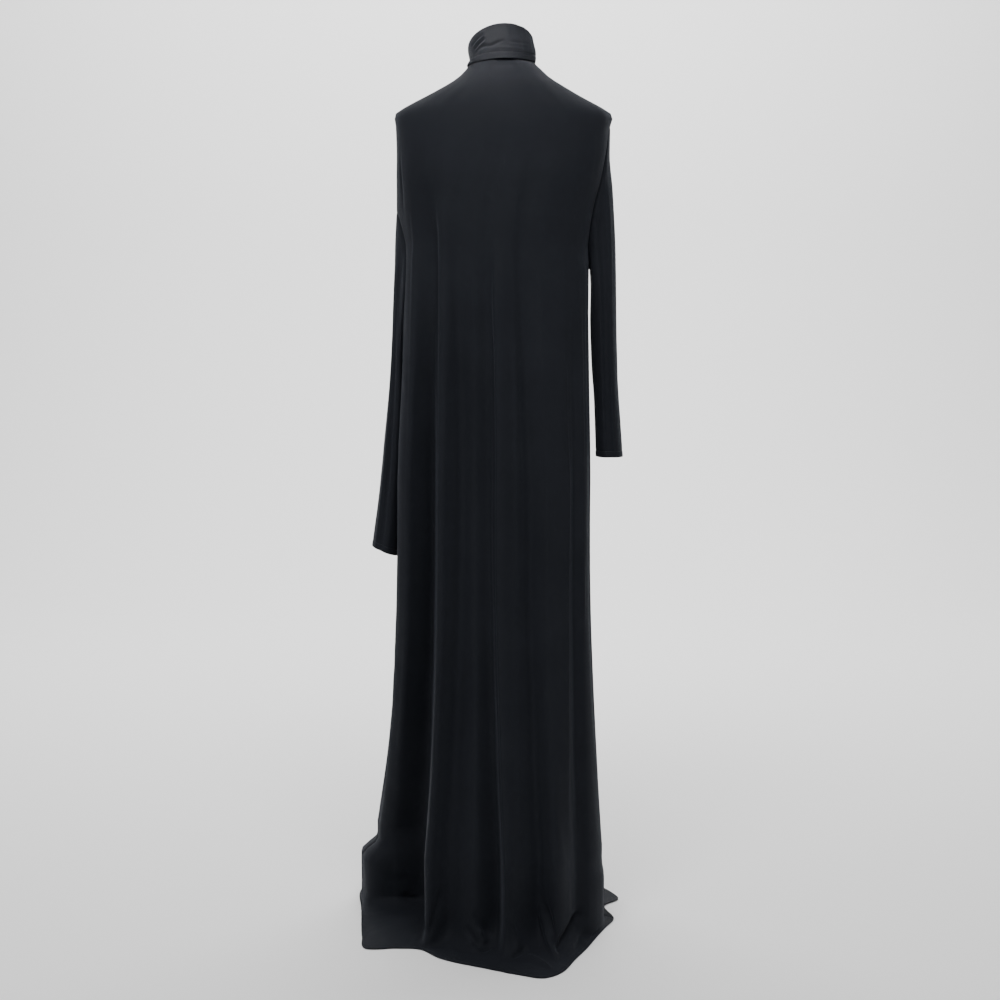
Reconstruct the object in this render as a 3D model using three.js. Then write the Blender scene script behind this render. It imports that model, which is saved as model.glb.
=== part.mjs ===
// A long-sleeved jersey maxi dress with a turned-down roll collar, filled out as if worn and
// puddling on the floor. Its cut is uneven: a slim set-in sleeve on the wearer's right, and a
// wide body with a dropped shoulder and a low, long sleeve on the left, whose spare width hangs
// in pleats. Units are millimetres. +Z is up, +Y is the dress's front, and +X is the wearer's
// right. The origin is the centre of the neck base, 1500 mm above the floor.
import * as THREE from "three";

// Cloth and seams
const CLOTH = 1.5; // thickness of every wall
const SEAM_HALF_GAP = 0.2; // each edge stands back this far from its seam line
const PUDDLE_HALF_GAP = 0.35; // the same, where the seam bends on the floor
const MITRE_LIMIT = 2; // a mitred edge is at most this many cloth thicknesses deep
const EDGE_SIDE = 1e-6; // tells the two panels' edges on one seam line apart

// How far to either side a surface is sampled to find its normal or an edge's direction
const BODY_STEP = { u: 0.02, height: 0.4 };
const SLEEVE_STEP = { angle: 0.03, share: 0.004 };
const COLLAR_STEP = { turn: 0.05, share: 0.01 };
const RIM_STEP = 0.02;
const SEAM_STEP = { u: 0.05, height: 1 };
const FOOT_STEP = 0.3;

// Heights
const FLOOR = -1500;
const NECK_SEAM = 15;
const CHEST = -300; // the folds are full-grown from here down
const TIP_SOFTENING = [[15, 0], [-14, 1], [-48, 5], [-75, 17], [-84, 15], [-110, 4], [-150, 0]];
const HIP = -700;
const FOOT = -1350; // the skirt hangs free down to here
const FOLDS_FADE_IN = -110; // above this the cloth lies smooth on the shoulders
const KICK_START = -1376; // the lowest cloth steps outwards from here
const KICK_END = -1408;

// The puddle: each strip of skirt bends outwards above the floor, lands, and lies flat to its hem.
const LANDING = 0.55; // share of the way from foot to hem where the cloth lands
const LANDING_ROW = 0.6; // the same place, as a share of the cloth below the bend's top

// Sections over the shoulders. drop is how far the middle of the front lies below the back.
const SECTIONS = [
  { z: 15, left: -50, right: 50, back: -50, front: 50, square: 2.0, drop: 45 },
  { z: 8, left: -56, right: 56, back: -56, front: 56, square: 2.0, drop: 45 },
  { z: -1, left: -63, right: 66, back: -62, front: 60, square: 2.0, drop: 43 },
  { z: -14, left: -76, right: 80, back: -70, front: 66, square: 2.0, drop: 38 },
  { z: -30, left: -101, right: 106, back: -80, front: 72, square: 2.05, drop: 31 },
  { z: -48, left: -135, right: 137, back: -90, front: 78, square: 2.1, drop: 22 },
  { z: -64, left: -166, right: 168, back: -98, front: 84, square: 2.2, drop: 13 },
  { z: -75, left: -184, right: 186, back: -103, front: 88, square: 2.3, drop: 7 },
  { z: -84, left: -186, right: 189, back: -106, front: 92, square: 2.35, drop: 3 },
  { z: -96, left: -184, right: 185, back: -109, front: 96, square: 2.4, drop: 0 },
  { z: -140, left: -183, right: 182, back: -114, front: 108, square: 2.45, drop: 0 },
  { z: -190, left: -184, right: 174, back: -117, front: 118, square: 2.5, drop: 0 },
  { z: -240, left: -184, right: 161, back: -117, front: 125, square: 2.5, drop: 0 },
  { z: -300, left: -181, right: 150, back: -115, front: 126, square: 2.5, drop: 0 },
];

// Every ridge and valley of the skirt, seen from above, round from the right side seam over the
// back to the left one and over the front. Chest, hip, foot and hem hold [x, y] there. kick is
// how far the lowest cloth steps outwards, and bend is the height at which it starts to bend.
const [LINE_COLUMNS, ...LINE_ROWS] = [
  ["name", "chest", "hip", "foot", "kick", "bend", "hem"],
  ["right seam", [150, 4], [147, 6], [170, 14], 4, 34, [200, -13]],
  ["right edge", [141, -50], [149, -46], [173, -50], 4, 30, [181, -62]],
  ["ridge 6", [129, -72], [137, -80], [149, -102], 0, 36, [164, -106]],
  ["valley 5", [116, -80], [121, -76], [131, -94], 0, 48, [149, -148]],
  ["ridge 5", [99, -92], [112, -98], [112, -142], 0, 66, [122, -212]],
  ["ridge 4", [60, -106], [77, -104], [88, -164], 0, 74, [97, -270]],
  ["valley 4", [26, -110], [46, -88], [62, -128], 0, 58, [67, -293]],
  ["shelf 3", [14, -114], [24, -109], [28, -170], 0, 72, [26, -279]],
  ["ridge 3", [-10, -115], [-9, -117], [5, -180], 0, 76, [-6, -263]],
  ["valley 3", [-28, -111], [-28, -90], [-12, -130], 0, 56, [-34, -248]],
  ["ridge 2", [-47, -111], [-45, -100], [-45, -158], 0, 68, [-68, -231]],
  ["valley 2", [-74, -102], [-67, -84], [-92, -122], 0, 50, [-108, -205]],
  ["ridge 1", [-106, -97], [-111, -117], [-132, -150], 0, 38, [-143, -165]],
  ["valley 1", [-124, -78], [-130, -50], [-146, 45], 0, 26, [-182, -160]],
  ["ridge 0", [-160, -59], [-175, -91], [-200, 40], 6, 26, [-236, -161]],
  ["left edge", [-171, -40], [-188, -66], [-222, 52], 26, 28, [-247, -100]],
  ["left seam", [-181, 4], [-134, 6], [-230, 80], 30, 34, [-258, 30]],
  ["front groove", [-171, 52], [-186, 78], [-231, 112], 28, 44, [-268, 140]],
  ["front ridge 0", [-155, 72], [-172, 98], [-214, 150], 8, 60, [-246, 214]],
  ["front valley 1", [-128, 89], [-132, 78], [-158, 108], 0, 52, [-194, 240]],
  ["front ridge 1", [-100, 108], [-108, 118], [-128, 168], 0, 74, [-142, 264]],
  ["front valley 2", [-72, 118], [-72, 97], [-88, 132], 0, 56, [-92, 250]],
  ["front ridge 2", [-42, 126], [-40, 129], [-48, 188], 0, 72, [-50, 274]],
  ["front valley 3", [-8, 123], [-6, 103], [-12, 146], 0, 54, [-4, 258]],
  ["front ridge 3", [26, 127], [30, 131], [36, 190], 0, 74, [40, 278]],
  ["front valley 4", [58, 119], [60, 101], [72, 142], 0, 56, [84, 250]],
  ["front ridge 4", [90, 107], [94, 116], [112, 166], 0, 68, [126, 238]],
  ["front valley 5", [118, 84], [120, 83], [136, 116], 0, 50, [176, 180]],
  ["front ridge 5", [139, 60], [141, 64], [160, 82], 0, 46, [215, 92]],
  ["right notch", [147, 34], [147, 36], [165, 48], 0, 36, [187, 52]],
];
const LINES = LINE_ROWS.map((row) =>
  Object.fromEntries(row.map((value, k) => [LINE_COLUMNS[k], value])),
);
const LEFT_SEAM = LINES.findIndex((line) => line.name === "left seam");

// Armholes: top and bottom are on the side seam, depth is from the seam to the deepest edge.
const ARMHOLES = {
  right: { seam: 0, top: -96, bottom: -340, depth: 47 },
  left: { seam: LEFT_SEAM, top: -240, bottom: -500, depth: 46 },
};
const EASED_LINES = 3; // lines beside an armhole that close up to make room for it
const EDGE_HALVINGS = 40; // enough to place an armhole's edge exactly

// Sleeves hang beside the body. outer and inner are [z, x] down the two silhouettes, girth is
// [share of the way down, half depth], and middle is the y of the sleeve's middle.
const SLEEVES = {
  right: {
    outer: [[-96, 185], [-143, 184], [-204, 190], [-306, 195], [-514, 200], [-619, 207], [-665, 210]],
    inner: [[-340, 146], [-352, 148], [-410, 149], [-514, 153], [-566, 157], [-665, 161]],
    girth: [[0, 47], [0.3, 46], [0.6, 41], [1, 36]],
    middle: 6,
    crease: { at: 1.45, width: 0.3, depth: 5 },
  },
  left: {
    outer: [[-240, -184], [-306, -187], [-410, -190], [-514, -196], [-619, -206], [-724, -217], [-822, -230]],
    inner: [[-500, -167], [-512, -170], [-600, -168], [-700, -170], [-780, -176], [-840, -182]],
    girth: [[0, 46], [0.2, 39], [0.6, 38], [1, 36]],
    middle: 4,
    crease: { at: 1.2, width: 0.3, depth: 4 },
  },
};
const SEAT = 0.3; // share of the sleeve over which the armhole's outline eases out
const CLEAR_OF_BODY = 2.5; // the sleeve's inner side steps this far off the body
const CLEAR_BY = 0.04; // share of the sleeve by which it has done so
const CREASED_BY = 0.2; // share of the sleeve by which its crease is full-grown

// Collar: a band sewn to the neck, folded at its top and turned down outside itself.
const COLLAR = {
  standRadius: 49.25,
  outerRadius: 56,
  lean: -4, // the folded top slouches to the left
  top: { middle: 43, back: 26, right: 5 },
  edge: { side: 11, frontDrop: 45 },
  bulge: 1.6, // the turned-down layer swells between fold and edge
  foldStart: 0.42, // shares of the cloth between which it turns over
  foldEnd: 0.58,
};

// How finely the solids are cut
const WIDE_FOLD = 24; // folds wider than this get three strips instead of two
const SLEEVE_ROWS = [0, 0.03, 0.08, 0.15, 0.24, 0.34, 0.45, 0.56, 0.67, 0.78, 0.89, 1];
const COLLAR_COLUMNS = 36;
const COLLAR_ROWS = [0, 0.14, 0.28, 0.42, 0.46, 0.5, 0.54, 0.58, 0.68, 0.79, 0.9, 1];
const SHOULDER_ROWS = [15, 8, -1, -14, -30, -48, -64, -75, -84];
const ARMHOLE_ROWS = [-96, -108, -140, -190, -240, -252, -285, -325, -340, -400, -450, -488, -500];
const SKIRT_ROWS = [-600, -720, -840, -960, -1080, -1180, -1270, FOOT, KICK_START, -1392, KICK_END];
const PUDDLE_ROWS = [0, 0.2, 0.4, LANDING_ROW, 1];

const mix = (a, b, t) => a + (b - a) * t;
const clamp01 = (t) => Math.min(1, Math.max(0, t));
const smooth = (t) => clamp01(t) ** 2 * (3 - 2 * clamp01(t));
const signedPower = (value, power) => Math.sign(value) * Math.abs(value) ** power;

// The value at a place on a smooth curve through [place, value] pairs, with no overshoot.
function through(pairs, at) {
  const rising = pairs[0][0] < pairs[pairs.length - 1][0];
  const sorted = rising ? pairs : [...pairs].reverse();
  const last = sorted.length - 1;
  if (at <= sorted[0][0]) return sorted[0][1];
  if (at >= sorted[last][0]) return sorted[last][1];
  const slope = (i) => (sorted[i + 1][1] - sorted[i][1]) / (sorted[i + 1][0] - sorted[i][0]);
  const tangent = (i) => {
    if (i === 0) return slope(0);
    if (i === last) return slope(last - 1);
    const [before, after] = [slope(i - 1), slope(i)];
    return before * after <= 0 ? 0 : (2 * before * after) / (before + after);
  };
  const i = sorted.findIndex((pair, k) => k < last && at <= sorted[k + 1][0]);
  const width = sorted[i + 1][0] - sorted[i][0];
  const t = (at - sorted[i][0]) / width;
  const rise = [tangent(i) * width, tangent(i + 1) * width];
  return (
    sorted[i][1] * (2 * t ** 3 - 3 * t ** 2 + 1) +
    rise[0] * (t ** 3 - 2 * t ** 2 + t) +
    sorted[i + 1][1] * (3 * t ** 2 - 2 * t ** 3) +
    rise[1] * (t ** 3 - t ** 2)
  );
}

const sectionPairs = Object.fromEntries(
  ["left", "right", "back", "front", "square", "drop"].map((column) => [
    column,
    SECTIONS.map((row) => [row.z, row[column]]),
  ]),
);
const section = (column, z) => through(sectionPairs[column], z);

// A point on the smooth section over the shoulders. turn is 0 at the right side, a quarter turn
// at the middle of the back and a half turn at the left side.
function shoulderPoint(turn, z) {
  const power = 2 / section("square", z);
  const middle = (section("left", z) + section("right", z)) / 2;
  const softer = through(TIP_SOFTENING, z) * Math.sin(turn) ** 2; // only the tips stay sharp
  const halfWidth = (section("right", z) - section("left", z)) / 2 - softer;
  const depth = Math.sin(turn) >= 0 ? -section("back", z) : section("front", z);
  return [
    middle + halfWidth * signedPower(Math.cos(turn), power),
    -depth * signedPower(Math.sin(turn), power),
  ];
}

// Where each fold line crosses the chest section, as a turn.
const TURNS = LINES.map(({ chest: [x, y] }) => {
  const half = section("square", CHEST) / 2;
  const middle = (section("left", CHEST) + section("right", CHEST)) / 2;
  const across = (x - middle) / ((section("right", CHEST) - section("left", CHEST)) / 2);
  const outwards = y < 0 ? y / section("back", CHEST) : -y / section("front", CHEST);
  return Math.atan2(signedPower(outwards, half), signedPower(across, half));
});

// A fold line's place at a height, down to where the puddle begins.
function linePlace(index, z) {
  const { chest, hip, foot } = LINES[index];
  if (z >= CHEST) {
    const over = shoulderPoint(TURNS[index], z);
    const atChest = shoulderPoint(TURNS[index], CHEST);
    const grown = smooth((FOLDS_FADE_IN - z) / (FOLDS_FADE_IN - CHEST));
    return over.map((value, k) => value + grown * (chest[k] - atChest[k]));
  }
  if (z >= HIP) return chest.map((value, k) => mix(value, hip[k], (CHEST - z) / (CHEST - HIP)));
  const flare = ((HIP - z) / (HIP - FOOT)) ** 2;
  return hip.map((value, k) => mix(value, foot[k], flare));
}

const ringCache = new Map();
// The closed curve through all fold lines at a height, or along their hems or kicks.
function ring(key, places) {
  if (!ringCache.has(key)) {
    const points = places().map(([x, y]) => new THREE.Vector3(x, y, 0));
    ringCache.set(key, new THREE.CatmullRomCurve3(points, true, "centripetal"));
  }
  return ringCache.get(key);
}
const onRing = (curve, u) => {
  const count = LINES.length;
  return curve.getPoint((((u % count) + count) % count) / count);
};
const ringAt = (z, u) => onRing(ring(`z${z}`, () => LINES.map((_, i) => linePlace(i, z))), u);
const hemAt = (u) => onRing(ring("hem", () => LINES.map((line) => line.hem)), u);
const lowAt = (u) => onRing(ring("low", () => LINES.map((line) => [line.kick, line.bend])), u);

// The skirt's foot, stepped outwards by a share of the kick.
function footAt(u, share) {
  const here = ringAt(FOOT, u);
  const ahead = ringAt(FOOT, u + FOOT_STEP).sub(ringAt(FOOT, u - FOOT_STEP)).normalize();
  return here.add(new THREE.Vector3(ahead.y, -ahead.x, 0).multiplyScalar(-lowAt(u).x * share));
}
const bendTop = (u) => FLOOR + lowAt(u).y;

// A point on the outside of the dress's body. u counts fold lines round the body, and height is
// the real height down to the bend, and below it a share of the cloth left.
function bodyPoint(u, height) {
  if (height >= FOOT) {
    const place = ringAt(height, u);
    const forward = clamp01(place.y / section("front", height));
    const drop = height > CHEST ? section("drop", height) * forward ** 2 : 0;
    return place.setZ(height - drop);
  }
  const top = bendTop(u);
  const stepped = smooth((KICK_START - height) / (KICK_START - KICK_END));
  if (height >= top) return footAt(u, stepped).setZ(height);
  const laid = FLOOR + CLOTH;
  const down = (top - height) / (top - FLOOR);
  const start = footAt(u, 1);
  const hem = hemAt(u);
  const landing = start.clone().lerp(hem, LANDING);
  if (down >= LANDING_ROW) {
    return landing.lerp(hem, (down - LANDING_ROW) / (1 - LANDING_ROW)).setZ(laid);
  }
  const t = down / LANDING_ROW;
  const under = start.clone().setZ(laid);
  return start
    .setZ(top)
    .multiplyScalar((1 - t) ** 2)
    .addScaledVector(under, 2 * t * (1 - t))
    .addScaledVector(landing.setZ(laid), t ** 2);
}

// The outward normal of a surface given by a function of two parameters.
function normalOf(surface, u, v, stepU, stepV, limits) {
  const [low, high] = limits;
  const along = surface(u + stepU, v).sub(surface(u - stepU, v));
  const down = surface(u, Math.min(high, v + stepV)).sub(surface(u, Math.max(low, v - stepV)));
  return along.cross(down).normalize();
}
const bodyNormal = (u, height) =>
  normalOf(bodyPoint, u, height, BODY_STEP.u, BODY_STEP.height, [FLOOR, NECK_SEAM]).negate();

// The armhole's half depth at a height, or 0 outside it.
function armholeDepth({ top, bottom, depth }, height) {
  if (height >= top || height <= bottom) return 0;
  const fromMiddle = (height - (top + bottom) / 2) / ((top - bottom) / 2);
  return depth * Math.sqrt(1 - fromMiddle ** 2);
}

// Where the armhole's edge lies, in fold lines from its seam: facing is 1 on the way round
// away from the seam's own line and -1 before it.
function armholeEdge(armhole, facing, height) {
  const depth = armholeDepth(armhole, height);
  if (depth === 0) return 0;
  const middle = ringAt(height, armhole.seam).y;
  let [near, far] = [0, EASED_LINES];
  for (let step = 0; step < EDGE_HALVINGS; step++) {
    const half = (near + far) / 2;
    const away = Math.abs(ringAt(height, armhole.seam + facing * half).y - middle);
    if (away < depth) near = half;
    else far = half;
  }
  return near;
}

// u of a column at a height, once the columns beside an armhole have closed up.
function easedColumn(u, height) {
  for (const armhole of Object.values(ARMHOLES)) {
    for (const seam of [armhole.seam, armhole.seam + LINES.length]) {
      const away = u - seam;
      if (Math.abs(away) > EASED_LINES) continue;
      const facing = Math.sign(away);
      const edge = armholeEdge(armhole, facing, height);
      return seam + facing * mix(edge, EASED_LINES, Math.abs(away) / EASED_LINES);
    }
  }
  return u;
}

// The height of a row at a column: rows in the puddle are shares of the cloth below the bend.
const rowHeight = (row, u) => (row.share === undefined ? row.z : mix(bendTop(u), FLOOR, row.share));

// The armhole's outline on the body. angle is 0 at its top, and its back is the first half turn.
function armholePoint(side, angle) {
  const armhole = ARMHOLES[side];
  const height = mix(armhole.top, armhole.bottom, (1 - Math.cos(angle)) / 2);
  const towardsBack = Math.sin(angle) >= 0;
  const facing = towardsBack === (side === "right") ? 1 : -1;
  const u = armhole.seam + facing * armholeEdge(armhole, facing, height);
  return { u, height, point: bodyPoint(u, height) };
}

// A point on the outside of a sleeve. angle is 0 down its outer silhouette, a quarter turn at
// the back and a half turn underarm; share runs from the armhole to the cuff.
function sleevePoint(side, angle, share) {
  const sleeve = SLEEVES[side];
  const turn = ((angle % (2 * Math.PI)) + 2 * Math.PI) % (2 * Math.PI);
  const down = clamp01(share);
  const heights = ["outer", "inner"].map((edge) => {
    const rows = sleeve[edge];
    return mix(rows[0][0], rows[rows.length - 1][0], down);
  });
  const outwards = through(sleeve.outer, heights[0]);
  const inwards = through(sleeve.inner, heights[1]);
  const { at, width, depth } = sleeve.crease;
  const creased = depth * smooth(down / CREASED_BY) * Math.exp(-(((turn - at) / width) ** 2));
  const girth = through(sleeve.girth, down) - creased;
  const inner = (1 - Math.cos(turn)) / 2;
  const clear = (side === "right" ? CLEAR_OF_BODY : -CLEAR_OF_BODY) * smooth(down / CLEAR_BY);
  const hung = new THREE.Vector3(
    mix(outwards, inwards, inner) + clear * Math.sqrt(inner),
    sleeve.middle * smooth(down / SEAT) - girth * Math.sin(turn),
    mix(heights[0], heights[1], inner),
  );
  const seated = smooth(down / SEAT);
  if (seated >= 1) return hung;
  const armholeRim = armholePoint(side, turn).point;
  const startRing = new THREE.Vector3(
    mix(sleeve.outer[0][1], sleeve.inner[0][1], inner),
    -sleeve.girth[0][1] * Math.sin(turn),
    mix(sleeve.outer[0][0], sleeve.inner[0][0], inner),
  );
  return hung.addScaledVector(armholeRim.sub(startRing), 1 - seated);
}
const sleeveNormal = (side, angle, share) => {
  const surface = (a, s) => sleevePoint(side, a, s);
  const normal = normalOf(surface, angle, share, SLEEVE_STEP.angle, SLEEVE_STEP.share, [0, 1]);
  return side === "right" ? normal : normal.negate();
};

// The shared offset direction and depth for two cloth edges that meet at an angle.
function mitre(first, second) {
  const direction = first.clone().add(second).normalize();
  const depth = 1 / Math.max(1 / MITRE_LIMIT, direction.dot(first));
  return direction.multiplyScalar(depth * CLOTH);
}

// A closed wall from a grid of outer points and their inward offsets. A wrapped grid is a tube.
function wall(rows, wrapped) {
  const columns = rows[0].length;
  const layer = rows.length * columns;
  const positions = [];
  for (const inner of [false, true]) {
    for (const row of rows) {
      for (const { point, inwards } of row) {
        const place = inner ? point.clone().add(inwards) : point;
        positions.push(place.x, place.y, place.z);
      }
    }
  }
  const index = [];
  const quad = (a, b, c, d) => index.push(a, b, c, a, c, d);
  const outer = (r, c) => r * columns + (c % columns);
  const spans = wrapped ? columns : columns - 1;
  for (let r = 0; r < rows.length - 1; r++) {
    for (let c = 0; c < spans; c++) {
      const corners = [outer(r, c), outer(r, c + 1), outer(r + 1, c + 1), outer(r + 1, c)];
      quad(...corners);
      quad(...corners.map((k) => k + layer).reverse());
    }
  }
  const rim = (a, b) => quad(a, b, b + layer, a + layer);
  for (let c = 0; c < spans; c++) {
    rim(outer(0, c + 1), outer(0, c));
    rim(outer(rows.length - 1, c), outer(rows.length - 1, c + 1));
  }
  if (!wrapped) {
    for (let r = 0; r < rows.length - 1; r++) {
      rim(outer(r, 0), outer(r + 1, 0));
      rim(outer(r + 1, columns - 1), outer(r, columns - 1));
    }
  }
  const geometry = new THREE.BufferGeometry();
  geometry.setAttribute("position", new THREE.Float32BufferAttribute(positions, 3));
  geometry.setIndex(index);
  geometry.computeVertexNormals();
  return geometry;
}

// The columns of a panel between two seams, two or three strips to each side of a fold.
function panelColumns(from, to) {
  const columns = [from + EDGE_SIDE];
  for (let line = from; line < to; line++) {
    const count = LINES.length;
    const [a, b] = [LINES[line % count].hip, LINES[(line + 1) % count].hip];
    const strips = Math.hypot(a[0] - b[0], a[1] - b[1]) > WIDE_FOLD ? 3 : 2;
    for (let strip = 0; strip < strips; strip++) columns.push(line + strip / strips);
  }
  return [...columns.filter((column) => column !== from), to - EDGE_SIDE];
}

const PANEL_ROWS = [
  ...[...SHOULDER_ROWS, ...ARMHOLE_ROWS, ...SKIRT_ROWS].map((z) => ({ z })),
  ...PUDDLE_ROWS.map((share) => ({ share })),
];

// The sleeve's angle at a height on its armhole.
function sleeveAngle({ top, bottom }, height) {
  return Math.acos(Math.min(1, Math.max(-1, (height - (top + bottom) / 2) / ((top - bottom) / 2))));
}

// The inward offset of a panel's edge: mitred to the sleeve where an armhole is, else square.
function edgeInwards(u, height) {
  const own = bodyNormal(u, height);
  for (const [side, armhole] of Object.entries(ARMHOLES)) {
    if (height > armhole.top || height < armhole.bottom) continue;
    const fromSeam = Math.min(...[0, LINES.length].map((lap) => Math.abs(u - armhole.seam - lap)));
    if (fromSeam > EASED_LINES) continue;
    const angle = sleeveAngle(armhole, height);
    const back = bodyPoint(u, height).y < ringAt(height, armhole.seam).y;
    return mitre(own, sleeveNormal(side, back ? angle : -angle, SLEEVE_STEP.share)).negate();
  }
  return own.multiplyScalar(-CLOTH);
}

// The step from a seam line into its panel, square to the seam. side is 1 at a panel's first
// column and -1 at its last.
function intoPanel(u, height, side) {
  const up = Math.min(NECK_SEAM, height + SEAM_STEP.height);
  const down = Math.max(FLOOR, height - SEAM_STEP.height);
  const along = bodyPoint(u, up).sub(bodyPoint(u, down)).normalize();
  const into = bodyPoint(u + side * SEAM_STEP.u, height).sub(bodyPoint(u, height));
  const gap = height > FOOT ? SEAM_HALF_GAP : PUDDLE_HALF_GAP;
  return into.addScaledVector(along, -into.dot(along)).setLength(gap);
}

// A front or back panel, from one seam line to the next.
function panel(from, to) {
  const columns = panelColumns(from, to);
  const rows = PANEL_ROWS.map((row) =>
    columns.map((column, k) => {
      const height = rowHeight(row, column);
      const u = row.share === undefined ? easedColumn(column, height) : column;
      const point = bodyPoint(u, height);
      const atEdge = k === 0 || k === columns.length - 1;
      const inwards = atEdge ? edgeInwards(u, height) : bodyNormal(u, height).multiplyScalar(-CLOTH);
      if (atEdge) {
        point.add(intoPanel(u, height, k === 0 ? 1 : -1));
      }
      return { point, inwards };
    }),
  );
  return wall(rows, false);
}

// A sleeve: a tube whose top is the armhole's outline, with a vertex at each row of the panels.
function sleeveWall(side) {
  const armhole = ARMHOLES[side];
  const heights = ARMHOLE_ROWS.filter((z) => z <= armhole.top && z >= armhole.bottom);
  const back = heights.map((z) => sleeveAngle(armhole, z));
  const angles = [...back, ...back.slice(1, -1).reverse().map((angle) => 2 * Math.PI - angle)];
  const rows = SLEEVE_ROWS.map((share) =>
    angles.map((angle) => {
      const point = sleevePoint(side, angle, share);
      const own = sleeveNormal(side, angle, share);
      if (share > 0) return { point, inwards: own.multiplyScalar(-CLOTH) };
      const { u, height } = armholePoint(side, angle);
      const ahead = armholePoint(side, angle + RIM_STEP).point;
      const behind = armholePoint(side, angle - RIM_STEP).point;
      const away = ahead.sub(behind).cross(bodyNormal(u, height)).setLength(2 * SEAM_HALF_GAP);
      point.add(side === "right" ? away.negate() : away);
      point.x += side === "right" ? SEAM_HALF_GAP : -SEAM_HALF_GAP;
      return { point, inwards: mitre(bodyNormal(u, height), own).negate() };
    }),
  );
  return wall(side === "right" ? rows : rows.map((row) => row.reverse()), true);
}

// The collar's cloth, from the neck seam up inside, over the fold and down outside to its edge.
function collarPoint(turn, share) {
  const { standRadius, outerRadius, lean, top, edge, bulge, foldStart, foldEnd } = COLLAR;
  const [across, towardsBack] = [Math.cos(turn), Math.sin(turn)];
  const forward = Math.max(0, -towardsBack) ** 2;
  const fold = (outerRadius - standRadius) / 2;
  const seam = NECK_SEAM + 3 * SEAM_HALF_GAP - edge.frontDrop * forward;
  const crest = top.middle + top.back * towardsBack + top.right * across - fold;
  const hem = edge.side - edge.frontDrop * forward;
  let radius;
  let height;
  if (share < foldStart) {
    radius = standRadius;
    height = mix(seam, crest, share / foldStart);
  } else if (share < foldEnd) {
    const round = ((share - foldStart) / (foldEnd - foldStart)) * Math.PI;
    radius = standRadius + fold - fold * Math.cos(round);
    height = crest + fold * Math.sin(round);
  } else {
    const fallen = (share - foldEnd) / (1 - foldEnd);
    radius = outerRadius + bulge * Math.sin(Math.PI * fallen);
    height = mix(crest, hem, fallen);
  }
  const leaned = lean * smooth((height - seam) / (crest - seam + 1));
  return new THREE.Vector3(leaned + radius * across, -radius * towardsBack, height);
}

// The collar's wall has the cloth's middle at collarPoint.
function collarWall() {
  const rows = COLLAR_ROWS.map((share) =>
    Array.from({ length: COLLAR_COLUMNS }, (_, k) => {
      const turn = (k / COLLAR_COLUMNS) * 2 * Math.PI;
      const normal = normalOf(collarPoint, turn, share, COLLAR_STEP.turn, COLLAR_STEP.share, [0, 1]);
      const point = collarPoint(turn, share).addScaledVector(normal, CLOTH / 2);
      return { point, inwards: normal.multiplyScalar(-CLOTH) };
    }),
  );
  return wall(rows, true);
}

function cloth(name, geometry) {
  const material = new THREE.MeshStandardMaterial({ color: 0x1c1f26, roughness: 0.78, metalness: 0 });
  const mesh = new THREE.Mesh(geometry, material);
  mesh.name = name;
  return mesh;
}

const dress = new THREE.Group();
dress.add(cloth("back_panel", panel(0, LEFT_SEAM)));
dress.add(cloth("front_panel", panel(LEFT_SEAM, LINES.length)));
dress.add(cloth("right_sleeve", sleeveWall("right")));
dress.add(cloth("left_sleeve", sleeveWall("left")));
dress.add(cloth("collar", collarWall()));

export default dress;
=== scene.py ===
import math

import bpy
import numpy as np
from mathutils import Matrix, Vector


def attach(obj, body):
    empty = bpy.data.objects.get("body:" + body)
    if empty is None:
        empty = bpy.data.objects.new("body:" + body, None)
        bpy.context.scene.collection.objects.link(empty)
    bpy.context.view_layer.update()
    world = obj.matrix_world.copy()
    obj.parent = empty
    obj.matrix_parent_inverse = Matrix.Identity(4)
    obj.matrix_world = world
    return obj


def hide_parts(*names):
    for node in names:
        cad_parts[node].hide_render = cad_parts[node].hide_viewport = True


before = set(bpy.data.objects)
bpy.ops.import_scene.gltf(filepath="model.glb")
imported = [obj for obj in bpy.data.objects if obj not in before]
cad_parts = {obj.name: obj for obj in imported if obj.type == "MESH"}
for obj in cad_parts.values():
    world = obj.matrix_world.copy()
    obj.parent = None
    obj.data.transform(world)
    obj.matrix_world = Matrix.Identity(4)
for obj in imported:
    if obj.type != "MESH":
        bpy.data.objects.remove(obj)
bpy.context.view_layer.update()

MM = 0.001
TAU = 2 * math.pi

# Heights
FLOOR = -1500
NECK_SEAM = 15
CHEST = -300
HIP = -700
FOOT = -1350
FOLDS_FADE_IN = -110
KICK_START = -1376  # the skirt steps outwards between these two
KICK_END = -1408

# Cloth
SOLID_WALL = 1.5  # the solid's wall, on whose outside the cloth lies
CLOTH = 0.8
FLOOR_GAP = 0.1
HALF_SEAM = 0.35  # a panel's side edges are drawn in by this much
SEAM_DIP = 1.3
SEAM_WIDTH = 3.5
NECK_FIRM = 6  # folds and wrinkles grow from nothing over this length below the neck seam
SIDE_FIRM = 14  # and over this length from a panel's side edges

# Rounding over the shoulders: the levels it lies between, and how it fades at them and at the sides
ROUND_TOP, ROUND_FOOT = -10, -170
ROUND_FADE = 25
ROUND_SIDE_FADE = 45
ROUNDINGS = {"back": 1, "front": 5}  # passes, few enough to move no point by over 9 mm

# The puddle: where the cloth lands on its way out to the hem, as a share of the distance and of
# the cloth
LANDING = 0.55
LANDING_ROW = 0.6

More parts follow.
